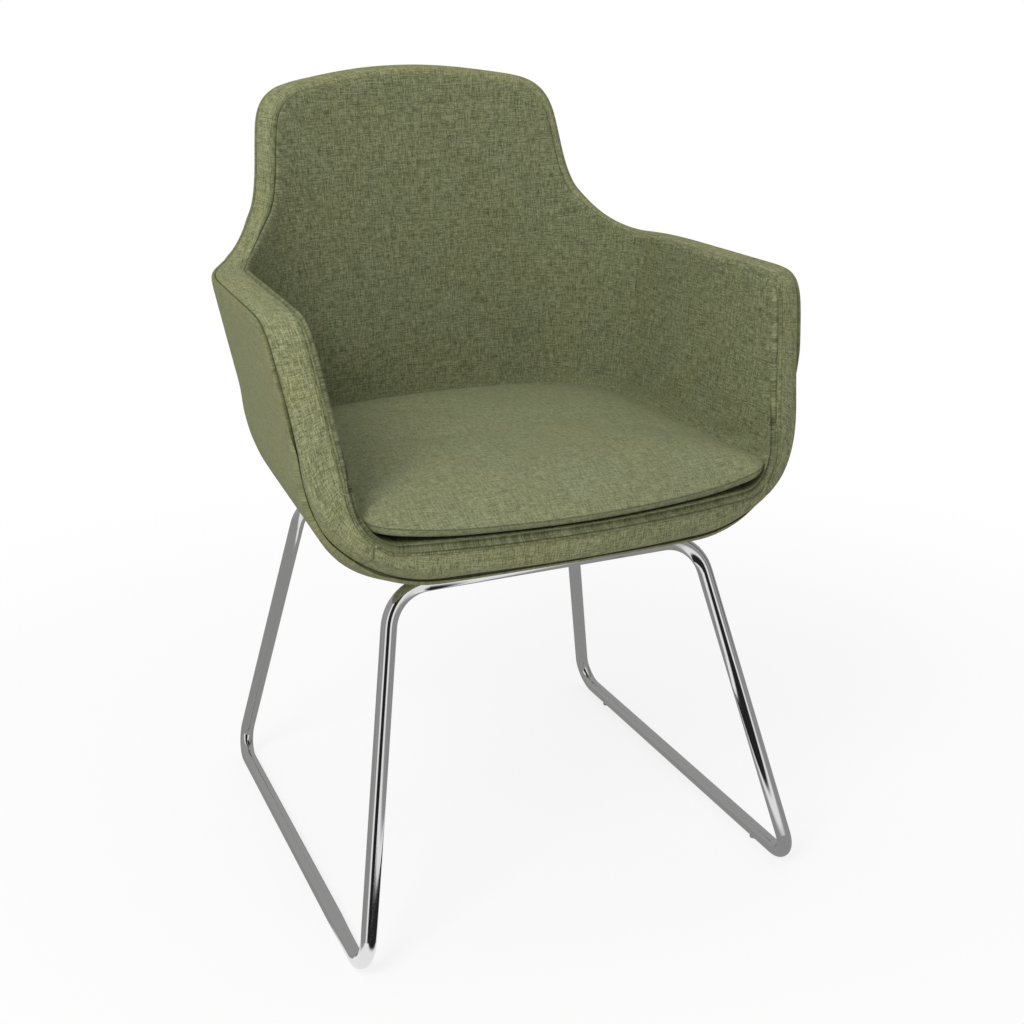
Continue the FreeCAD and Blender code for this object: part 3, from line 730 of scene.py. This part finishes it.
# The inner seam wraps onto the lining; the outer one lies a little behind the edge, and well
# under it at the front lip
lap = 0.0015 + 0.0065 * np.clip((inner_rim[:, 2] - 0.65) / 0.05, 0, 1)
inside_faces = faces_of(["inside_cover", "deck_cover", "edge_band"], False)
lapped = drawn_onto(inside_faces, inner_rim - rise * lap[:, None])
tuck = 0.0035 + 0.0290 * np.clip((0.56 - outer_rim[:, 2]) / 0.11, 0, 1)
outside_faces = faces_of(["outside_cover", "edge_band", "front_band"], True)
tucked = drawn_onto(outside_faces, outer_rim - rise * tuck[:, None])
board_front = (112.0 - centre_shift) / 1000
board_back = (394.0 - centre_shift) / 1000
under_edge = np.stack([np.clip(outer_rim[:, 0], -0.112, 0.112),
                       np.clip(outer_rim[:, 1] * 0.86, board_front, board_back),
                       np.full(len(outer_rim), 0.3735)], 1)
waist = tucked * np.array([0.93, 0.95, 1.0])
waist[:, 2] = np.minimum(outer_rim[:, 2], 0.455)
outside = settle(guide_rows(tucked, waist, under_edge, outside_rows, 1.15, 0.5),
                 outside_faces, 8)
outside = np.concatenate([(tucked + inward * cut_back)[None], (tucked - rise * sunk)[None],
                          outside[1:]])
along, gap = lengthwise(outside)
outside_uv = np.stack([along, outside[..., 2] - gap * (outside[..., 2] < 0.52)], -1)
beneath = outside[..., 2] < 0.402
outside_uv[beneath] = outside[beneath][:, :2]
seam_mark = np.zeros(outside.shape[:2])
seam_mark[0] = seam_painted_shade
outside_cloth = cloth_grid("outside_cover_cloth", outside, outside_uv, seam_mark)
finish_cloth(outside_cloth, cover_thickness)
outside_fabric = melange("green_fabric_outside", (0.115, 0.12, 0.058), (0.185, 0.193, 0.096),
                         (0.265, 0.275, 0.15), 0.0011, 1.3, 0.15, 0.15)
outside_cloth.data.materials.append(outside_fabric)
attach(outside_cloth, "chair")
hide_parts("outside_cover", "outer_foam")

# Edge band: a strip of the same fabric sewn round the arms, the back's top edge and the front lip.
# It is pulled over a foam rim, so it stands up a little between the two seams beside it.
band_rows = []
band_uv = []
band_seam = []
# Painted shade at the mitres, darker than along the seams
mitre_painted_shade = 0.5
mitre_depth = 0.0008
crown_height = 0.0022
ring = np.linalg.norm(np.diff(outer_rim / 2 + inner_rim / 2, axis=0), axis=1)
ring = np.concatenate([[0], np.cumsum(ring)])
band_lines = [(tucked + inward * cut_back, -tuck - cut_back), (tucked + rise * 0.0005, -tuck)]
for share in (0.35, 0.7):
    band_lines.append((tucked + (outer_rim - tucked) * share, -tuck * (1 - share)))
band_lines.append((outer_rim + inward * 0.0012 - rise * 0.0004, 0 * tuck))
for share in (0.1, 0.2, 0.35, 0.5, 0.65, 0.8, 0.9):
    swell = (1 - abs(2 * share - 1) ** 3.0) * crown_height
    band_lines.append((outer_rim + across * share + rise * swell, width * share))
band_lines += [(inner_rim - inward * 0.0012 - rise * 0.0003, width),
               ((inner_rim + lapped) / 2, width + lap / 2),
               (lapped + rise * 0.0004, width + lap),
               (lapped - inward * cut_back, width + lap + cut_back)]
for i, (row, reach) in enumerate(band_lines):
    row = row.copy()
    mark = np.full(columns + 1, seam_painted_shade if i in (0, len(band_lines) - 1) else 0.0)
    for k in mitre_columns:
        row[k] -= rise[k] * mitre_depth
        mark[k] = mitre_painted_shade
    band_rows.append(row)
    band_uv.append(np.stack([ring, reach], -1))
    band_seam.append(mark)
band = cloth_grid("edge_band_cloth", band_rows, band_uv, band_seam)
finish_cloth(band, cover_thickness)
band_fabric = melange("green_fabric_band", (0.10, 0.106, 0.05), (0.195, 0.205, 0.102),
                      (0.30, 0.315, 0.175), 0.0013, 1.7, 0.22, 0.1)
band.data.materials.append(band_fabric)
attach(band, "chair")
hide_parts("edge_band", "front_band", "rim_foam")

# Inside cover: the same fabric over soft foam, one sewn lining for the back, both arms and the
# deck under the cushion. Its weave is seen square on, with threads that run up and across.


def close_deck(piece, middle, reach):
    # Fills the small ring left in the middle of the deck and maps what lies level from above
    mesh = piece.data
    near = np.linalg.norm(read(mesh.vertices, "co") - middle, axis=1) < reach
    pick(piece)
    mesh.vertices.foreach_set("select", near)
    mesh.edges.foreach_set("select", np.zeros(len(mesh.edges), bool))
    mesh.polygons.foreach_set("select", np.zeros(len(mesh.polygons), bool))
    bpy.ops.object.mode_set(mode="EDIT")
    bpy.ops.mesh.select_mode(type="VERT")
    bpy.ops.mesh.remove_doubles(threshold=weld_distance)
    bpy.ops.mesh.fill()
    bpy.ops.object.mode_set(mode="OBJECT")
    corners = read(mesh.loops, "vertex_index", 1, np.int32)
    corner_places = read(mesh.vertices, "co")[corners]
    layer = mesh.uv_layers["cloth"]
    spread = read(layer.data, "uv", 2)
    level = corner_places[:, 2] < 0.436
    spread[level] = corner_places[level][:, :2]
    layer.data.foreach_set("uv", spread.ravel())


def press_folds(piece, folds):
    # Soft folds: each one (from, to, width, height) is a ridge between two hollows along a line
    mesh = piece.data
    places = read(mesh.vertices, "co").astype(float)
    normals = read(mesh.vertices, "normal")
    lift = np.zeros(len(places))
    for start, end, breadth, height in folds:
        a = np.array(start)
        run = np.array(end) - a
        t = ((places - a) @ run) / (run @ run)
        nearest = a + np.clip(t, 0, 1)[:, None] * run
        away = np.linalg.norm(places - nearest, axis=1) / breadth
        fade = np.sin(math.pi * np.clip(t * 0.8 + 0.1, 0, 1))
        lift += height * fade * (np.exp(-away ** 2) - 0.55 * np.exp(-(away / 2.2) ** 2))
    mesh.vertices.foreach_set("co", (places + normals * lift[:, None]).astype(np.float32).ravel())
    mesh.update()


inside_rows = 32
deck_height = 0.4320
deck_edge = np.stack([np.clip(inner_rim[:, 0] * 0.8, -0.165, 0.165),
                      np.clip(inner_rim[:, 1] * 0.82, -0.235, 0.125),
                      np.full(len(inner_rim), deck_height)], 1)
hollow = inner_rim * np.array([0.93, 0.97, 1.0])
hollow[:, 2] = np.minimum(inner_rim[:, 2], 0.47)
inside = settle(guide_rows(lapped, hollow, deck_edge, inside_rows, 1.1, 0.75), inside_faces, 8)
deck_middle = np.array([0.0, -0.055, deck_height])
deck = [deck_middle + (inside[-1] - deck_middle) * share for share in (0.85, 0.65, 0.45, 0.22)]
inside = np.concatenate([(lapped - inward * cut_back)[None], (lapped - rise * sunk)[None],
                         inside[1:], deck])
along, gap = lengthwise(inside)
inside_uv = np.stack([along, inside[..., 2] - gap * (inside[..., 2] < 0.47)], -1)
seam_mark = np.zeros(inside.shape[:2])
seam_mark[0] = seam_painted_shade
inside_cloth = cloth_grid("inside_cover_cloth", inside[:, ::-1], inside_uv[:, ::-1], seam_mark)
close_deck(inside_cloth, deck_middle, 0.06)
finish_cloth(inside_cloth, cover_thickness)
press_folds(inside_cloth, [((-0.206, 0.180, 0.742), (-0.172, 0.196, 0.738), 0.0045, 0.0022),
                           ((-0.207, 0.182, 0.724), (-0.166, 0.196, 0.722), 0.0045, 0.0024),
                           ((-0.209, 0.180, 0.704), (-0.170, 0.194, 0.700), 0.0045, 0.0018),
                           ((0.206, -0.215, 0.500), (0.216, -0.110, 0.470), 0.0075, 0.0028),
                           ((0.204, -0.230, 0.478), (0.212, -0.130, 0.452), 0.0065, 0.0024),
                           ((0.212, -0.170, 0.520), (0.220, -0.080, 0.500), 0.0080, 0.0018),
                           ((-0.206, -0.215, 0.500), (-0.216, -0.110, 0.470), 0.0075, 0.0020),
                           ((0.150, 0.155, 0.560), (0.195, 0.100, 0.500), 0.0120, 0.0022),
                           ((-0.150, 0.155, 0.560), (-0.195, 0.100, 0.500), 0.0120, 0.0020)])
# Painted shade: this copy of the fabric is darker than the outside cover's, for the shade inside
# the bucket
shaded_inside_fabric = melange("green_fabric_inside_shaded", (0.078, 0.086, 0.042), (0.155, 0.168, 0.088),
                        (0.25, 0.268, 0.152), 0.0013, 1.8, 0.22, 0.1)
inside_cloth.data.materials.append(shaded_inside_fabric)
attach(inside_cloth, "chair")
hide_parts("inside_cover", "deck_cover", "back_foam", "deck_foam")

# Seat cushion: a loose foam pad in its own sewn cover, with a crowned top panel and a narrow boxing
# strip between two seams. It lies on hook and loop strips and follows the curve of the bucket.
cushion_back = 440.0
cushion_front = -9.0


def pad_outline(shrink):
    # Right half of the pad's outline in plan, from the middle of its front to that of its back
    half = 208.0 - shrink
    corner = max(105.0 * half / 208.0, 1.0)
    nose = max(26.0 * half / 208.0, 0.5)
    bow = half * half / 1500.0
    front = cushion_front + shrink
    drop = half * 0.14
    side_back = cushion_back - shrink - drop * 0.8
    front_turn = math.atan2(bow * 2, half)
    back_half = half - 5.0 * half / 208.0
    front_round = half * 0.37 / math.tan(front_turn / 2)
    back_round = half * 0.37 / math.tan(math.atan2(drop, back_half))
    line = eased([(-half, front + bow, 0), (0.0, front - bow * 0.15, front_round),
                  (half, front + bow, nose), (back_half, side_back, corner),
                  (0.0, side_back + drop, back_round),
                  (-back_half, side_back, 0)], 4.0)
    keep = line[line[:, 0] >= 0]
    return np.concatenate([[[0.0, keep[0][1]]], keep, [[0.0, keep[-1][1]]]])


def pad_ring(shrink, front_z, back_z):
    line = pad_outline(shrink)
    slope = (back_z - front_z) / (cushion_back - cushion_front)
    points = np.stack([line[:, 0], line[:, 1], front_z + slope * (line[:, 1] - cushion_front)], 1)
    half = even(points, 91)
    left = half[-2::-1] * np.array([-1, 1, 1])
    ring = np.concatenate([half, left])
    side = np.clip((np.abs(ring[:, 0]) - 110.0) / 98.0, 0, 1)
    ahead = np.clip(1 - (ring[:, 1] + 9.0) / 420.0, 0, 1)
    ring[:, 2] += 12.0 * side ** 2 * ahead
    ring[:, 0] += np.sign(ring[:, 0]) * 3.0 * side ** 3 * ahead
    return ring


# Each level: drawn in by, height in front and at the back, seam mark for painted seam shade, share
# left loose
pad_levels = [(shrink, 474.0, 474.0, 0.0, 1.0) for shrink in (199.0, 185.0, 168.0)]
crown_steps = 16
pad_low = 435.4
for i in range(crown_steps, -1, -1):
    angle = math.pi / 2 * i / crown_steps
    lift = math.sin(angle)
    pad_levels.append((150.0 * (1 - math.cos(angle)), 445.8 + 28.2 * lift, 463.0 + 11.0 * lift,
                       0.6 if i == 0 else 0.0, 0.0 if i == 0 else 1.0))
    if i == 1:
        pad_levels.append((0.05, 447.0, 464.2, 0.0, 0.4))
pad_levels += [(0.3, 445.0, 461.5, 0.0, 0.0), (0.8, 442.6, 451.5, 0.0, 0.0),
               (2.0, 440.3, 441.0, 0.0, 0.0), (3.0, 439.6, 439.6, 0.6, 0.0),
               (6.0, 439.2, 439.2, 0.0, 0.0)]
for i in range(1, 5):
    angle = math.pi / 2 * (1 - i / 4)
    height = pad_low + 4.1 * (1 - math.cos(angle))
    pad_levels.append((12.5 + 25.0 * (1 - math.sin(angle)), height, height, 0.0, 0.0))
pad_levels += [(shrink, pad_low, pad_low, 0.0, 0.0) for shrink in (60.0, 100.0, 150.0, 199.0)]
pad_rows = np.array([pad_ring(*level[:3]) for level in pad_levels])
middle_top = pad_rows[0].mean(0)
middle_low = pad_rows[-1].mean(0)
point_ring = np.zeros_like(pad_rows[:1])
pad_rows = np.concatenate([point_ring + middle_top, pad_rows, point_ring + middle_low])
pad_rows = (pad_rows - np.array([0, centre_shift, 0])) / 1000.0
# Painted shade along the cushion's seams, carried by the seam attribute
pad_marks = np.array([0.0] + [level[3] for level in pad_levels] + [0.0])
pad_loose = np.array([1.0] + [level[4] for level in pad_levels] + [0.0])
step = np.linalg.norm(np.diff(pad_rows, axis=0), axis=2)
run = np.concatenate([np.zeros_like(step[:1]), np.cumsum(step, axis=0)])
plan = pad_rows[..., :2] - pad_rows[0, 0, :2]
reach = np.maximum(np.linalg.norm(plan, axis=2), 1e-6)
pad_uv = plan * (run / reach)[..., None]
pad_seam = np.repeat(pad_marks[:, None], pad_rows.shape[1], 1)
pad = cloth_grid("seat_cushion_cloth", pad_rows, pad_uv, pad_seam)
weld(pad, turn_out=True)
# Foam presses the top panel out between its seams; the boxing and the underside stay put
before = read(pad.data.vertices, "co")
hold = pad.vertex_groups.new(name="sewn")
loose = {}
for row, share in zip(pad_rows, pad_loose):
    for place in row:
        loose[tuple(np.round(place, 5))] = share
for k, place in enumerate(before):
    free = loose.get(tuple(np.round(place.astype(float), 5)), 0.0)
    hold.add([k], float(1.0 - free), "REPLACE")
cloth = pad.modifiers.new("cloth", "CLOTH")
cloth.settings.use_pressure = True
cloth.settings.uniform_pressure_force = 4.0
cloth.settings.effector_weights.gravity = 0.0
cloth.settings.vertex_group_mass = "sewn"
cloth.settings.tension_stiffness = 25.0
cloth.settings.compression_stiffness = 10.0
cloth.settings.bending_stiffness = 2.0
for step_frame in range(1, 21):
    bpy.context.scene.frame_set(step_frame)
bpy.ops.object.modifier_apply(modifier="cloth")
move = read(pad.data.vertices, "co") - before
size = np.linalg.norm(move, axis=1)[:, None]
most = 0.005
move = np.where(size > most, move * most / np.maximum(size, 1e-9), move)
pad.data.vertices.foreach_set("co", (before + move).ravel())
pad.vertex_groups.clear()
bpy.context.scene.frame_set(1)
soften()
cushion_fabric = melange("green_fabric_cushion", (0.105, 0.115, 0.058), (0.185, 0.198, 0.108),
                         (0.265, 0.285, 0.165), 0.0012, 1.5, 0.2, 0.15)
pad.data.materials.append(cushion_fabric)
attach(pad, "seat_cushion")
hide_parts("cushion_top", "cushion_boxing", "cushion_bottom", "cushion_foam")

# Cushion zip: a coil zip in the rear of the boxing, on a woven tape of the cushion's green. The
# tape is sewn in along both edges, and the coil stands up along its middle.
boxing_top, boxing_low = 22, 25
zip_columns = [k for k, place in enumerate(pad_rows[boxing_top])
               if place[1] > 0.13 and abs(place[0]) < 0.148]
zip_top = pad_rows[boxing_top][zip_columns]
zip_low = pad_rows[boxing_low][zip_columns]
outward = np.stack([zip_top[:, 0] * 0.6, zip_top[:, 1] + 0.35, np.zeros(len(zip_top))], 1)
outward /= np.linalg.norm(outward, axis=1)[:, None]
zip_rows = []
zip_uv = []
zip_mark = []
zip_run = np.concatenate([[0], np.cumsum(np.linalg.norm(np.diff(zip_top, axis=0), axis=1))])
for share, proud in ((0.08, 0.0002), (0.2, 0.0006), (0.4, 0.0007), (0.46, 0.0016),
                     (0.54, 0.0016), (0.6, 0.0007), (0.8, 0.0006), (0.92, 0.0002)):
    zip_rows.append(zip_top + (zip_low - zip_top) * share + outward * proud)
    zip_uv.append(np.stack([zip_run, np.full(len(zip_run), share)], -1))
    zip_mark.append(np.full(len(zip_run), 1.0 if 0.45 < share < 0.55 else 0.0))
zip_piece = cloth_grid("cushion_zip_tape", zip_rows, zip_uv, zip_mark)
finish_cloth(zip_piece, 0.0008)
zip_tape, tree, shader = plain_material("zip_tape", (0.10, 0.11, 0.055), 0.8)
cloth_map = add(tree, "UVMap", {}, uv_map="cloth")
teeth = add(tree, "TexWave", {"Vector": cloth_map, "Scale": 130.0}, bands_direction="X")
coil = add(tree, "Attribute", {}, attribute_name="seam").outputs["Fac"]
coil_teeth = add(tree, "Math", {0: teeth.outputs["Fac"], 1: coil}, operation="MULTIPLY")
teeth_colour = add(tree, "Mix", {"Factor": coil_teeth, 6: (0.10, 0.11, 0.055, 1.0),
                                 7: (0.30, 0.31, 0.22, 1.0)}, data_type="RGBA")
tree.links.new(teeth_colour.outputs[2], shader.inputs["Base Color"])
add_relief(tree, shader, coil_teeth, 0.6, 0.0005)
zip_piece.data.materials.append(zip_tape)
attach(zip_piece, "seat_cushion")
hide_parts("cushion_zip")

# Hook and loop strips: two pairs of black woven nylon tape under the cushion. The stiff hooks are
# sewn to the deck and the soft loops to the cushion's underside.


def tape_material(name, colour, cell, strength):
    material, tree, shader = plain_material(name, colour, 0.9)
    add_relief(tree, shader, on_object(tree, "TexVoronoi", cell), strength, 0.0006)
    return material


def tape_pair(name, low, high, material, body, replaced):
    tapes = []
    for x in (-0.110, 0.110):
        middle = (x, (200.0 - centre_shift) / 1000, (low + high) / 2)
        bpy.ops.mesh.primitive_cube_add(size=1.0, location=middle)
        tape = bpy.context.object
        tape.scale = (0.025, 0.220, high - low)
        tapes.append(tape)
    pick(tapes[0])
    tapes[1].select_set(True)
    bpy.ops.object.transform_apply(location=True, rotation=True, scale=True)
    bpy.ops.object.join()
    tape = bpy.context.object
    tape.name = name
    edges = tape.modifiers.new("edges", "BEVEL")
    edges.width = 0.0005
    edges.segments = 2
    bpy.ops.object.modifier_apply(modifier="edges")
    tape.data.materials.append(material)
    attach(tape, body)
    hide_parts(replaced)


tape_pair("hook_strip_tapes", 0.4321, 0.4334,
          tape_material("hook_tape", (0.02, 0.02, 0.021), 900.0, 0.9), "chair", "hook_strips")
tape_pair("loop_strip_tapes", 0.4339, 0.4352,
          tape_material("loop_tape", (0.03, 0.03, 0.032), 450.0, 0.5), "seat_cushion",
          "loop_strips")

# Bottom cloth: thin black nonwoven cloth stapled over the opening under the seat. It sags a little
# between its staples, and its spunbonded surface is dull with a faint dotted emboss.
cloth_across = 60
cloth_along = 76
half_across = 0.1177
half_along = 0.1467
rounding = 0.040
under_rows = []
bolts = [(x, (y - centre_shift) / 1000) for x in (-0.1, 0.1) for y in (117.0, 375.0)]
for j in range(cloth_along + 1):
    v = (2.0 * j / cloth_along - 1.0)
    row = []
    for i in range(cloth_across + 1):
        u = (2.0 * i / cloth_across - 1.0)
        x = half_across * u
        y = (253.0 - centre_shift) / 1000 + half_along * v
        over_x = max(abs(x) - (half_across - rounding), 0.0)
        over_y = max(abs(v) * half_along - (half_along - rounding), 0.0)
        reach = max(math.hypot(over_x, over_y), 1e-9)
        pull = max(over_x, over_y) / reach if over_x and over_y else 1.0
        x -= math.copysign(over_x * (1 - pull), x)
        y -= math.copysign(over_y * (1 - pull), v)
        edge = min(1 - abs(u), 1 - abs(v))
        waves = 0.5 + 0.5 * math.sin(9 * u + 3 * v) * math.sin(7 * v - 2 * u)
        sag = 0.0011 * min(edge * 3, 1.0) * waves
        plate = min(math.hypot(x - bolt_x, y - bolt_y) for bolt_x, bolt_y in bolts)
        sag *= min(max((plate - 0.03) / 0.02, 0.0), 1.0)
        row.append((x, y, 0.3731 - sag))
    under_rows.append(row)
under_uv = np.array(under_rows)[..., :2]
under_cloth = cloth_grid("bottom_cloth_sheet", under_rows, under_uv, np.zeros(under_uv.shape[:2]))
finish_cloth(under_cloth, 0.0006)
black_cloth, tree, shader = plain_material("black_cloth", (0.014, 0.014, 0.015), 0.95)
add_relief(tree, shader, on_object(tree, "TexVoronoi", 420.0), 0.4, 0.0003)
fibres = on_object(tree, "TexNoise", 120.0, Detail=4.0)
two_tone(tree, shader, fibres, (0.009, 0.009, 0.010), (0.022, 0.022, 0.023))
under_cloth.data.materials.append(black_cloth)
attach(under_cloth, "chair")
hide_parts("bottom_cloth")
